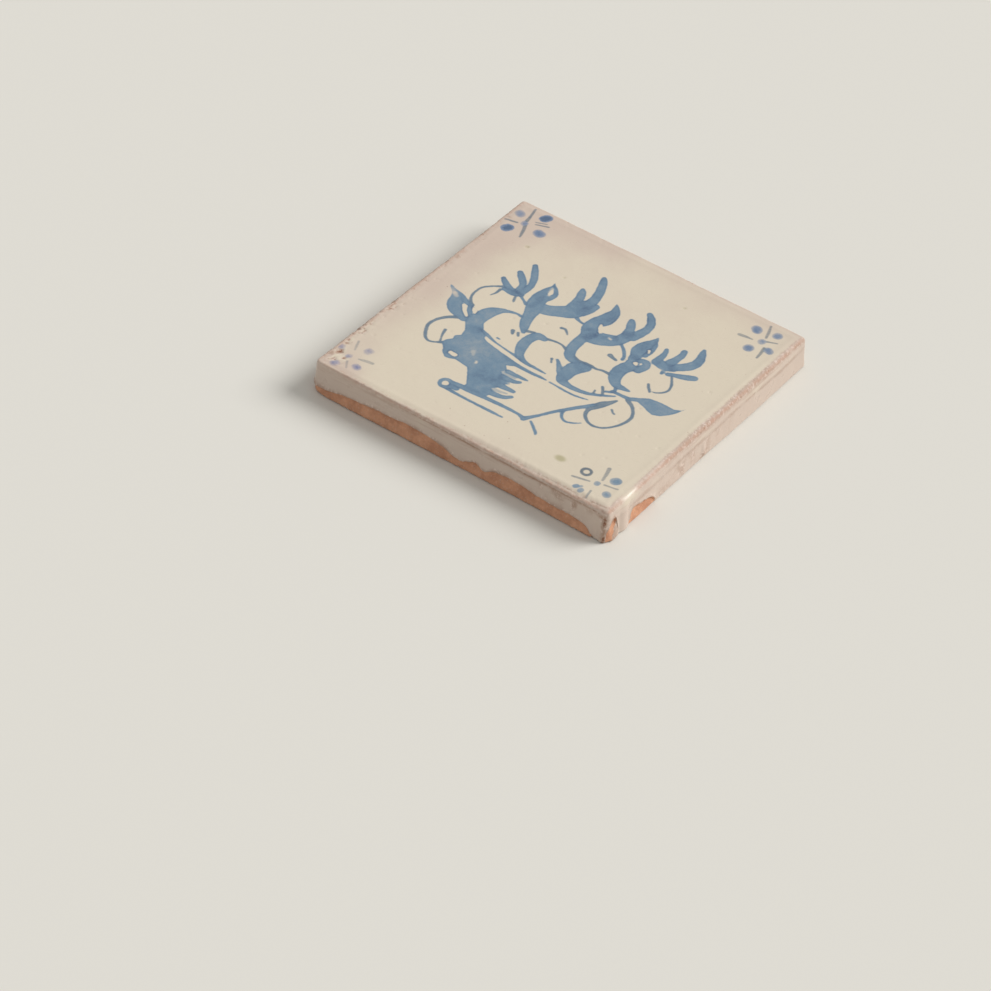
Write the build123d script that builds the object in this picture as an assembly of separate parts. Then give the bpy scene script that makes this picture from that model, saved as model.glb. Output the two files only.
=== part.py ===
from build123d import *
from math import atan2, degrees
import os

# A square handmade wall tile: one slab of red earthenware, cut by hand and fired, with a
# thick pale glaze over its face that laps onto the four sides and ends there in an uneven edge.
# Millimetres. The origin is the middle of the underside, X runs across the painted picture,
# Y runs up it and Z points out of the glazed face.

# Sizes of the slab
face_width = 130.0  # along X, measured at the face
face_length = 130.0  # along Y, measured at the face
thickness = 13.5
side_flare = 1.2  # each side stands this much further out at the foot than at the face
face_corner_radius = 1.4
foot_corner_radii = {"left": 3.6, "front": 3.0, "right": 2.2, "back": 3.5}
arris_radius = 0.8  # the glazed edge round the face
foot_radius = 0.8  # the worn edge round the underside

# Sizes of the glaze
face_glaze = 0.9  # coat on the face
side_glaze = 0.6  # coat on the sides
run_rise = 0.5  # how far a run stands out of the coat
run_half_width = 2.3

# The corners in order round the tile, and the side that follows each one
corners = {"left": (-1, -1), "front": (1, -1), "right": (1, 1), "back": (-1, 1)}
sides = ["front", "right", "back", "left"]

# Bare clay below the lap, side by side, seen from outside. Each patch is the upper edge of
# the bare clay as (place, height): the place goes from -1 to 1 over the side's length, and
# the height is in mm over the foot. A height under 0 lies off the tile, below the foot.
off = -1.5
bare_patches = {
    "front": [
        [
            (-1.06, 3.1),
            (-0.88, 3.2),
            (-0.74, 4.8),
            (-0.50, 5.6),
            (-0.30, 6.1),
            (-0.14, 5.2),
            (0.02, 3.1),
            (0.12, 5.2),
            (0.185, 3.6),
            (0.26, 5.6),
            (0.42, 5.8),
            (0.60, 4.5),
            (0.80, 4.2),
            (0.88, 3.0),
            (0.925, off),
        ]
    ],
    "right": [
        [(-1.06, 7.6), (-0.94, 8.7), (-0.905, 5.0), (-0.89, off)],
        [(-0.80, off), (-0.775, 3.0), (-0.72, 6.1), (-0.63, 5.0), (-0.56, 3.0), (-0.53, off)],
    ],
    "back": [
        [
            (-0.95, off),
            (-0.90, 2.6),
            (-0.70, 4.6),
            (-0.45, 5.2),
            (-0.22, 3.0),
            (-0.05, 5.4),
            (0.30, 5.0),
            (0.60, 3.8),
            (0.82, 4.6),
            (1.06, 4.0),
        ]
    ],
    "left": [
        [
            (-1.06, 4.0),
            (-0.86, 4.6),
            (-0.62, 2.8),
            (-0.40, 5.0),
            (-0.10, 4.8),
            (0.18, 5.6),
            (0.38, 4.6),
            (0.43, off),
        ],
        [(0.59, off), (0.64, 3.4), (0.80, 4.2), (1.06, 3.1)],
    ],
}

# Runs of glaze that stand out of the coat: (place, height of the top, height of the tip)
runs = {
    "front": [(0.185, 8.0, 5.6)],
    "right": [(-0.84, 8.0, off), (-0.06, 6.5, 1.8)],
    "back": [(-0.22, 8.0, 5.0)],
    "left": [(-0.62, 7.5, 4.8), (0.51, 8.0, off)],
}


def outline(width, length, height, radii):
    """A rectangle at one height, with its own radius at each corner."""
    face = Rectangle(width, length)
    for name, (x, y) in corners.items():
        corner = Vector(x * width / 2, y * length / 2)
        vertex = min(face.vertices(), key=lambda v: (Vector(v) - corner).length)
        face = fillet(vertex, radii[name])
    return Pos(0, 0, height) * face


def slab(inset, height):
    """The flared slab, drawn in by inset on every side, up to one height."""
    flare = side_flare * (1 - height / thickness)
    foot_radii = {name: radius - inset for name, radius in foot_corner_radii.items()}
    top_radii = {name: face_corner_radius - inset for name in corners}
    foot = outline(face_width + 2 * (side_flare - inset), face_length + 2 * (side_flare - inset), 0, foot_radii)
    top = outline(face_width + 2 * (flare - inset), face_length + 2 * (flare - inset), height, top_radii)
    block = loft([foot, top], ruled=True)
    return fillet(block.edges().group_by(Axis.Z)[0], foot_radius)


def size_of(side):
    """Half of a side's length, and how far its face's edge lies from the middle."""
    if side in ("front", "back"):
        return face_width / 2, face_length / 2
    return face_length / 2, face_width / 2


def sector(side):
    """The wedge between the middle of the tile and one side, mitred at the corners."""
    first = sides.index(side)
    names = list(corners)
    reach = 1.2
    start = corners[names[first]]
    end = corners[names[(first + 1) % 4]]
    points = [(0, 0)] + [(reach * x * face_width / 2, reach * y * face_length / 2) for x, y in (start, end)]
    wedge = make_face(Polyline(*points, close=True))
    return extrude(Pos(0, 0, 2 * off) * wedge, 2 * thickness)


def bare_clay(side):
    """What the glaze leaves bare on one side, from outside the tile to its middle."""
    half, away = size_of(side)
    depth = 1.2 * away
    wall = Plane(origin=(0, -depth, 0), x_dir=(1, 0, 0), z_dir=(0, -1, 0))
    region = []
    for patch in bare_patches[side]:
        points = [(place * half, height) for place, height in patch]
        skirt = [points[-1], (points[-1][0], 2 * off), (points[0][0], 2 * off), points[0]]
        face = make_face(Spline(*points).edges() + Polyline(*skirt).edges())
        region.append(extrude(wall * face, -depth))
    turned = Rot(0, 0, 90 * sides.index(side)) * Compound(region)
    return turned & sector(side)


def run(side, place, top, tip):
    """A run: a rounded ridge down the side, with most of it buried in the clay."""
    half, away = size_of(side)
    radius = (run_half_width**2 + run_rise**2) / (2 * run_rise)
    depth = radius - run_rise

    def centre(height):
        out = away + side_flare * (1 - height / thickness)
        return Vector(place * half, depth - out, height)

    start, end = centre(tip), centre(top)
    lean = degrees(atan2(side_flare, thickness))
    rod = Cylinder(radius, (end - start).length)
    ridge = Pos(*((start + end) / 2)) * Rot(-lean, 0, 0) * rod
    ridge += Pos(*start) * Sphere(radius)
    ridge += Pos(*end) * Sphere(radius)
    return Rot(0, 0, 90 * sides.index(side)) * ridge


clay = slab(side_glaze, thickness - face_glaze)

coat = slab(0, thickness)
coat = fillet(coat.edges().group_by(Axis.Z)[-1], arris_radius)
for side in sides:
    coat -= bare_clay(side)

between = Box(2 * face_width, 2 * face_length, thickness - arris_radius, align=(Align.CENTER, Align.CENTER, Align.MIN))
tile = clay + coat
for side in sides:
    for place, top, tip in runs[side]:
        tile += run(side, place, top, tip) & between

os.makedirs("parts", exist_ok=True)
export_step(tile, "parts/tile.step")
print("tile", len(tile.solids()), "solid", round(tile.volume / 1000, 2), "cm3")
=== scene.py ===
import math

import bpy
import numpy as np
from mathutils import Matrix, Vector


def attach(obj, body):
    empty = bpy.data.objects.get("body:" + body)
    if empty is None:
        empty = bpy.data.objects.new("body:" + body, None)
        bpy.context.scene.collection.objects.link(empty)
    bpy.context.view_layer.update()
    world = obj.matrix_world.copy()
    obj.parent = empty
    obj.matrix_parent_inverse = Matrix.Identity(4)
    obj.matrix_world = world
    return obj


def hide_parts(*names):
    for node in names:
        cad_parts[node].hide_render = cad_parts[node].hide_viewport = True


# A handmade wall tile: red earthenware under a thick pale glaze, painted in blue with a basket
# of fruit. The mesh is worked out in millimetres and goes to Blender in metres.
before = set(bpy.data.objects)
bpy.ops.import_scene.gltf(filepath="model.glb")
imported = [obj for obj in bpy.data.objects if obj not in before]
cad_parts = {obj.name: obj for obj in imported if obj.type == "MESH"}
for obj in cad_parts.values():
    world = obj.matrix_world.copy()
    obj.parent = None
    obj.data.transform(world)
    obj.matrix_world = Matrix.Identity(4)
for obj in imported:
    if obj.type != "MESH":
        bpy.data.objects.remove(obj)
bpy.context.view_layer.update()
mm = 0.001
print("frame loaded")

# The slab and its glaze. A list of four is for the front, right, back and left side. Places on a
# side run from -1 to 1, left to right seen from outside.
tile = {
    "width": 130.0,  # of the square face
    "thickness": 13.5,
    "flare": 1.2,  # each side stands this much further out at the foot
    "faceCornerRadius": 1.4,
    "footCornerRadii": [3.6, 3.0, 2.2, 3.5],  # left, front, right and back corner
    "arrisRadius": [(0.5, 1.1), (1.5, 1.5), (1.0, 1.0), (1.2, 1.2)],  # at the start and end of the side
    "arrisDrop": [0.85, 0.90, 1.0, 1.0],  # the arris's height as a part of its width
    "rimRoll": [0.60, 0.0, 0.0, 0.0],  # how far the face rolls down to the arris, most at the side's end
    "footRadius": [0.40, 0.60, 0.70, 0.60],
    "footSpread": [0.95, 0.45, 0.40, 0.45],  # how far the clay stands out again at the foot
    "sideGlaze": 0.6,
    "lip": 0.2,  # how far the glaze rolls out over its own lower edge
    "warp": 0.22,  # how far the sides wander from straight
    "faceSwell": 0.12,
    "rim": 0.10,  # the glaze is a little thicker just inside the arris
    "nickDepth": [0.26, 0.11, 0.18, 0.16],  # of the nicks in the arris
    # A seam where the coat on the face ends over the coat on each side
    "seamHeight": [11.5, 8.4, 11.6, 11.4],
    "seamWander": [0.35, 0.75, 0.30, 0.35],
    "seamRelief": [0.16, 0.14, 0.08, 0.12],
    # How dark the line along the seam is: worn glaze, and painted shade under its ridge
    "seamStainAndShade": [0.85, 0.62, 0.35, 0.60],
    # A second line of worn glaze, this far in from the rim of the face or, below 0, down the side
    "rimAt": [-0.80, -1.3, -0.3, 0.0],
    "rimStain": [0.66, 0.55, 0.10, 0.35],
    # Wear on the arris: how strong, how high up, how wide, and how strong in the nicks
    "wear": [1.05, 0.92, 0.42, 0.9],
    "bandAt": [12.4, 12.8, 12.7, 12.7],
    "bandWidth": [0.45, 0.95, 1.0, 1.0],
    "nickWear": [0.45, 0.55, 1.0, 1.05],
    "edgeReach": [2.9, 3.2, 2.2, 2.6],  # how far the wear comes in over the face
    "edgeWear": [0.62, 0.62, 0.8, 0.8],
    "blush": [1.05, 0.75, 0.8, 0.95],  # pink on the side
    "arrisBlush": [0.0, 0.35, 0.15, 0.35],
    "cells": 256,  # per side of the face
    "footCells": 64,  # per side of the underside
    "seed": 11,
}
half = tile["width"] / 2
thickness = tile["thickness"]

# The upper edge of the bare clay on each side, as (place, height). Where it is off the tile, below
# the foot, the glaze reaches the foot.
off = -1.5
bareClay = {
    "front": [
        [(-1.06, 3.1), (-0.88, 3.2), (-0.74, 4.8), (-0.5, 5.6), (-0.3, 6.1), (-0.14, 5.2), (0.02, 3.1),
         (0.12, 5.2), (0.185, 3.6), (0.26, 5.6), (0.42, 5.8), (0.6, 4.5), (0.8, 4.2), (0.88, 3),
         (0.925, off)],
    ],
    "right": [
        [(-1.06, 3.2), (-1, 4.2), (-0.975, 7), (-0.935, 9.2), (-0.905, 5), (-0.89, off)],
        [(-0.8, off), (-0.785, 3.6), (-0.755, 6.1), (-0.7, 5.8), (-0.62, 4.6), (-0.56, 2.8),
         (-0.53, off)],
    ],
    "back": [
        [(-0.95, off), (-0.9, 2.6), (-0.7, 4.6), (-0.45, 5.2), (-0.22, 3), (-0.05, 5.4), (0.3, 5),
         (0.6, 3.8), (0.82, 4.6), (1.06, 4)],
    ],
    "left": [
        [(-1.06, 4), (-0.86, 4.6), (-0.62, 2.8), (-0.4, 5), (-0.1, 4.8), (0.18, 5.6), (0.38, 4.6),
         (0.43, off)],
        [(0.59, off), (0.64, 3.4), (0.8, 4.2), (1.06, 3.1)],
    ],
}

# Runs and drips of glaze: (place, top, tip, half width, how far it stands out)
glazeRuns = {
    "front": [(0.185, 9, 4.6, 2.4, 0.5), (0.06, 9.5, 4, 5, 0.35), (0.97, 9, -2, 2.6, 0.55)],
    "right": [(-0.845, 10.5, -2, 3, 0.68), (-0.06, 6.5, 1, 1.5, 0.5), (-0.3, 9.5, 5.5, 1.3, 0.25)],
    "back": [(-0.22, 8.5, 3.6, 2.4, 0.5)],
    "left": [(-0.62, 8, 3.6, 2.4, 0.5), (0.51, 8.5, -2, 2.8, 0.55)],
}
sideNames = ["front", "right", "back", "left"]


def ramp(value, low, high):
    # An S-shaped step from 0 at low to 1 at high: 3t^2 - 2t^3.
    t = np.clip((value - low) / (high - low), 0, 1)
    return t * t * (3 - 2 * t)


def fall(value, low, high):
    # The same step downwards: 1 minus the ramp.
    return 1 - ramp(value, low, high)


def hump(value, middle, width):
    # A bell: e to the minus square of the distance from the middle over the width.
    return np.exp(-(((value - middle) / width) ** 2))


blockSize = 32
randomBlock = np.random.default_rng(tile["seed"]).uniform(-1, 1, (blockSize, blockSize, blockSize))


def lumps(x, y, z, size, layer=0):
    # Smooth lumps from -1 to 1, about size mm across: random values at the corners of cubes,
    # blended inside each cube by an S-shaped step along each axis. Each layer starts elsewhere.
    points = np.stack(np.broadcast_arrays(x, y, z), -1) / size + 7.31 * layer + 100
    base = np.floor(points).astype(int)
    part = points - base
    part = part * part * (3 - 2 * part)
    total = 0
    for corner in np.ndindex(2, 2, 2):
        weight = np.abs(1 - corner[0] - part[..., 0])
        weight = weight * np.abs(1 - corner[1] - part[..., 1])
        weight = weight * np.abs(1 - corner[2] - part[..., 2])
        spot = (base + np.array(corner)) % blockSize
        total = total + weight * randomBlock[spot[..., 0], spot[..., 1], spot[..., 2]]
    return total


def smoothLine(points, steps=8):
    # A curve through every point: each stretch is the cubic whose slope at an end is half the
    # step between that end's two neighbours.
    p = np.array(points, float)
    p = np.vstack([2 * p[0] - p[1], p, 2 * p[-1] - p[-2]])
    t = np.linspace(0, 1, steps, endpoint=False)[None, :, None]
    a, b, c, d = p[:-3, None], p[1:-2, None], p[2:-1, None], p[3:, None]
    curve = b + 0.5 * t * (c - a + t * (2 * a - 5 * b + 4 * c - d + t * (3 * (b - c) + d - a)))
    return np.vstack([curve.reshape(-1, p.shape[1]), p[-2]])


def clayHeight(place, side):
    # The highest of the side's curves at each place.
    height = np.full(place.shape, off)
    for patch in bareClay[side]:
        line = smoothLine(patch)
        along = np.maximum.accumulate(line[:, 0])
        height = np.maximum(height, np.interp(place, along, line[:, 1], left=off, right=off))
    return height


def outlinePoint(side, place, height, inset):
    # One side of a rounded rectangle: straight, with the last radius of its length bent onto an
    # eighth of a circle. Gives the point and the way out from it.
    up = height / thickness
    away = half + tile["flare"] * (1 - up) - inset
    startRadius, endRadius = (
        tile["footCornerRadii"][corner % 4] * (1 - up) + tile["faceCornerRadius"] * up
        for corner in (side, side + 1)
    )
    radius = np.maximum(np.where(place < 0, startRadius, endRadius) - inset, 0.3)
    along = np.abs(place) * away
    turn = np.clip((along - (away - radius)) / radius, 0, 1) * math.pi / 4
    along = np.sign(place) * (np.minimum(along, away - radius) + radius * np.sin(turn))
    out = away - radius + radius * np.cos(turn)
    outAlong = np.sign(place) * np.sin(turn)
    outAway = np.cos(turn)
    # Turn the front side's answer by a quarter turn for each side after it.
    c, s = [(1, 0), (0, 1), (-1, 0), (0, -1)][side]
    return c * along + s * out, s * along - c * out, c * outAlong + s * outAway, s * outAlong - c * outAway


# Everything on the four sides is a grid: columns round the tile, rows from the foot to the face.
cells = tile["cells"]
columns = 4 * cells
sideOf = np.arange(columns) // cells
placeOf = (np.arange(columns) % cells) / cells * 2 - 1
onFront, onRight, onLeft = sideOf == 0, sideOf == 1, sideOf == 3
lap = np.zeros(columns)
for number, name in enumerate(sideNames):
    lap[sideOf == number] = clayHeight(placeOf[sideOf == number], name)
arcLength = np.arange(columns) * 4 * tile["width"] / columns  # mm round the tile
rough = lumps(arcLength, 0, 5, 4, 1) * 0.35 + lumps(arcLength, 3, 0, 1.3, 2) * 0.18
lap = lap + rough * ramp(lap, 0.5, 2.5)
hasLap = ramp(lap, 0.5, 2)


def perSide(name):
    # The tile's value for the side that each column lies on.
    return np.array(tile[name])[sideOf]


def roundTheTile(values):
    # Evens out a row of values round the tile: each becomes the mean of the 25 nearest.
    padded = np.concatenate([values[-12:], values, values[:12]])
    return np.convolve(padded, np.full(25, 1 / 25), "same")[12:-12]


# Heights of the rows: round the foot, up the clay, close together over the lip, up the glaze,
# and round the arris.
quarter = math.pi / 2
footTurn = np.linspace(0, quarter, 4)
arrisTurn = np.linspace(0, quarter, 7)
footRadius = roundTheTile(perSide("footRadius"))
arrisEnds = perSide("arrisRadius")
arrisRadius = arrisEnds[:, 0] + (arrisEnds[:, 1] - arrisEnds[:, 0]) * ramp(placeOf, -0.8, 0.9)
arrisRadius = arrisRadius + 0.7 * onRight * hump(placeOf, -0.84, 0.10)
arrisRadius = roundTheTile(arrisRadius)
arrisDrop = arrisRadius * roundTheTile(perSide("arrisDrop"))
rimRoll = roundTheTile(perSide("rimRoll") * (0.15 + 0.85 * ramp(placeOf, -0.7, 0.5)))
lipAt = np.clip(lap, 1.7, 9.6)[None, :]
lipSteps = np.array([-0.35, -0.12, 0.08, 0.28, 0.55, 0.95])[:, None]
clayRows = footRadius + (lipAt + lipSteps[0] - footRadius) * np.linspace(0, 1, 5)[1:-1, None]
glazeTop = thickness - arrisDrop
wander = lumps(arcLength, 0, 9, 13, 8) + 0.35 * lumps(arcLength, 4, 9, 3.5, 26)
seamAt = roundTheTile(perSide("seamHeight") + perSide("seamWander") * wander)
lipTop = (lipAt + lipSteps[-1])[0]
evenRows = lipTop + (glazeTop - lipTop) * np.array([0.25, 0.5, 0.75])[:, None]
seamRows = seamAt + np.array([-0.95, -0.40, -0.05, 0.40])[:, None]
seamRows = np.maximum(seamRows, lipTop + np.array([0.2, 0.4, 0.6, 0.8])[:, None])
seamRows = np.minimum(seamRows, glazeTop - np.array([0.32, 0.24, 0.16, 0.08])[:, None])
glazeRows = np.sort(np.vstack([evenRows, seamRows]), axis=0)
footRows = footRadius * (1 - np.cos(footTurn))[:, None]
arrisRows = glazeTop + arrisDrop * np.sin(arrisTurn)[:, None]
height = np.vstack([footRows, clayRows, lipAt + lipSteps, glazeRows, arrisRows])
inset = np.zeros_like(height)
inset[:4] = footRadius * (1 - np.sin(footTurn))[:, None]
inset[-7:] = arrisRadius * (1 - np.cos(arrisTurn))[:, None]
rows = len(height)

x, y, outX, outY = np.zeros((4, *height.shape))
for number in range(4):
    own = sideOf == number
    found = outlinePoint(number, placeOf[None, own], height[:, own], inset[:, own])
    x[:, own], y[:, own], outX[:, own], outY[:, own] = found


def sideLumps(size, layer):
    # The lumps at the points of the sides.
    return lumps(x, y, height, size, layer)


# How far the surface stands out from the plain slab.
bare = lap - height
# The strip of clay next to the front corner narrows to the foot: the glaze beside it spreads there.
stripEdge = (-0.962 + 0.0080 * height - placeOf) * half + 0.25 * lumps(height, 3, 5, 1.6, 34)
bare = np.where(onRight & (placeOf < -0.86), np.minimum(bare, stripEdge), bare)
clay = ramp(bare, -0.10, 0.35)
standOut = -tile["sideGlaze"] * clay
standOut += roundTheTile(perSide("footSpread")) * fall(height, 0.2, 4.8) * hasLap
standOut += tile["lip"] * hump(height, lap + 0.55, 0.45) * hasLap
for number, name in enumerate(sideNames):
    for place, top, tip, halfWidth, rise in glazeRuns[name]:
        across = (placeOf - place) * half + 0.5 * lumps(height, 9 * place, 2, 4, 3)
        ridge = np.clip(1 - (across / halfWidth) ** 2, 0, 1) ** 1.5
        length = ramp(height, tip - 0.6, tip + 0.8) * (1 - ramp(height, top - 3, top + 1.5))
        standOut += (sideOf == number) * rise * ridge * length
standOut += tile["warp"] * lumps(x, y, 0, 34, 4) + 0.10 * sideLumps(9, 5)
standOut += 0.05 * sideLumps(2.6, 6) * (1 - clay) + 0.14 * sideLumps(1.6, 7) * clay

# The upper coat ends in a fine ridge along the seam, and the coat below it lies a little further in.
seamRelief = perSide("seamRelief") * (1 - 0.9 * ramp(np.abs(placeOf), 0.93, 1))
seamRelief *= np.where(onFront, 0.3 + 0.7 * ramp(placeOf, -0.6, 0.1), 1)
lowerCoat = fall(height, seamAt - 0.4, seamAt + 0.1) * ramp(height, 1, 6)
standOut += seamRelief * (hump(height, seamAt + 0.42, 0.36) - 0.45 * lowerCoat)
# A thick blob of glaze over the run by the front corner.
blob = onRight * hump(placeOf, -0.80, 0.085)
standOut += 0.30 * blob * ramp(height, 8.5, 11.5)

# The arris is nicked: deep at the worn end of the left side, fine and crumbly along the front.
nickDepth = perSide("nickDepth") + np.where(onLeft, 0.42 * ramp(placeOf, 0.05, 0.6), 0)
patchy = ramp(lumps(x, y, 0, 6.5, 22) + 0.5 * lumps(x, y, 0, 2.7, 23), -0.25, 0.55)
crumbs = 0.6 * sideLumps(1.7, 9) + 0.55 * sideLumps(0.8, 10)
nick = ramp(crumbs, -0.05, 0.55) * (0.25 + 0.75 * patchy)
atArris = hump(height, 13, 0.85)
standOut -= nickDepth * nick * atArris
drop = 0.6 * nickDepth * nick * atArris
# The foot of the left corner is rubbed away.
leftCorner = hump(x, -66, 5) * hump(y, -66, 5)
standOut -= 0.7 * leftCorner * fall(height, 0.5, 3.4)

x = x + standOut * outX
y = y + standOut * outY
rolled = rimRoll * ramp(height, 11.2, thickness)
foot = lumps(x, y, 0, 5, 11) * 0.5 + 0.5
z = height - drop - rolled + 0.35 * foot * fall(height, 0, 1.6) * ramp(height, -0.05, 0.12)
print("sides worked out:", rows, "rows of", columns)


def squareGrid(count):
    # A square grid from -1 to 1, how far out each point lies (1 is the edge), and the column of
    # the sides that is straight out from it.
    unit = np.linspace(-1, 1, count + 1)
    u, v = np.meshgrid(unit, unit, indexing="ij")
    ring = np.maximum(np.maximum(np.abs(u), np.abs(v)), 1e-9)
    sector = np.where(np.abs(v) >= np.abs(u), np.where(v < 0, 0, 2), np.where(u > 0, 1, 3))
    along = np.select([sector == 0, sector == 1, sector == 2], [u, v, -u], -v) / ring
    return u, v, ring, (sector + (along + 1) / 2) * cells


# The face: a square grid whose edge is the last row of the sides. Inside the last few
# millimetres it follows that edge, and further in it is a plain grid.
u, v, ring, edgeColumn = squareGrid(cells)
faceHalf = half - 1.4
squareX = np.select([sideOf == 0, sideOf == 1, sideOf == 2], [placeOf, 1, -placeOf], -1) * faceHalf
squareY = np.select([sideOf == 0, sideOf == 1, sideOf == 2], [-1, placeOf, 1], -placeOf) * faceHalf


def edgeValue(values, column=edgeColumn):
    # The value on the edge straight out from each point, between those of the nearest columns.
    return np.interp(column, np.arange(columns + 1), np.append(values, values[0]))


def faceLumps(size, layer):
    # The lumps at the points of the face.
    return lumps(faceX, faceY, 0, size, layer)


follow = ramp(ring, 0.91, 1)
faceX = u * faceHalf + follow * edgeValue(x[-1] - squareX)
faceY = v * faceHalf + follow * edgeValue(y[-1] - squareY)
faceZ = thickness + follow * edgeValue(z[-1] + rimRoll - thickness)
fromRim = half - np.maximum(np.abs(faceX), np.abs(faceY)) - edgeValue(arrisRadius)
inside = ramp(fromRim, 0.1, 2.2)
faceZ = faceZ - edgeValue(rimRoll) * np.clip(1 - fromRim / 2.6, 0, 1) ** 1.5
faceZ += tile["rim"] * hump(fromRim, 2, 1.3) * inside
faceZ += inside * tile["faceSwell"] * faceLumps(42, 12)
ripples = 0.035 * faceLumps(9, 13) + 0.012 * faceLumps(2.4, 14)
faceZ += inside * ripples

# Pits in the face: (x, y, radius, depth). The larger ones are listed one by one, the rest are scattered,
# most of them near the left edge.
pits = [
    (-61.3, -55.5, 1.2, 0.4), (-63, -48, 0.8, 0.35), (-60.2, -60.3, 0.9, 0.32), (-57, -61.3, 0.6, 0.2),
    (-62.6, -35, 0.6, 0.25), (-58, -57.5, 0.8, 0.3), (-62.8, -18.5, 0.5, 0.2), (-46.3, 41.3, 0.6, 0.2),
    (20.5, 49.5, 0.5, 0.15), (-24.5, 35, 0.4, 0.15), (58.5, -24.5, 0.5, 0.15),
]
scatter = np.random.default_rng(5)
for number in range(80):
    far = scatter.exponential(3) if number < 40 else scatter.uniform(0, 120)
    spot = (-63.6 + far, scatter.uniform(-62, 40))
    size = scatter.uniform(0.20, 0.45)
    pits.append((*spot, size, 0.45 * size))
pitDepth = np.zeros_like(faceZ)
pitRing = np.zeros_like(faceZ)  # where the glaze has gathered round a pit, paler
ragged = 1 + 0.45 * faceLumps(1.1, 27) + 0.25 * faceLumps(0.6, 28)
for pitX, pitY, pitSize, depth in pits:
    away = np.hypot(faceX - pitX, (faceY - pitY) * 0.75) * ragged
    pitDepth = np.maximum(pitDepth, depth * np.exp(-((away / pitSize) ** 4)))
    pitRing = np.maximum(pitRing, hump(away / pitSize, 1.5, 0.35) * ramp(pitSize, 0.4, 0.9))
chipZone = fall(faceX + half, 1.5, 6.5) * fall(faceY, -22, 5)
chips = ramp(faceLumps(2.8, 29) + 0.6 * faceLumps(1.2, 30), 0.35, 0.75)
pitDepth = np.maximum(pitDepth, 0.32 * chips * chipZone)
faceZ = faceZ - pitDepth * inside

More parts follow.
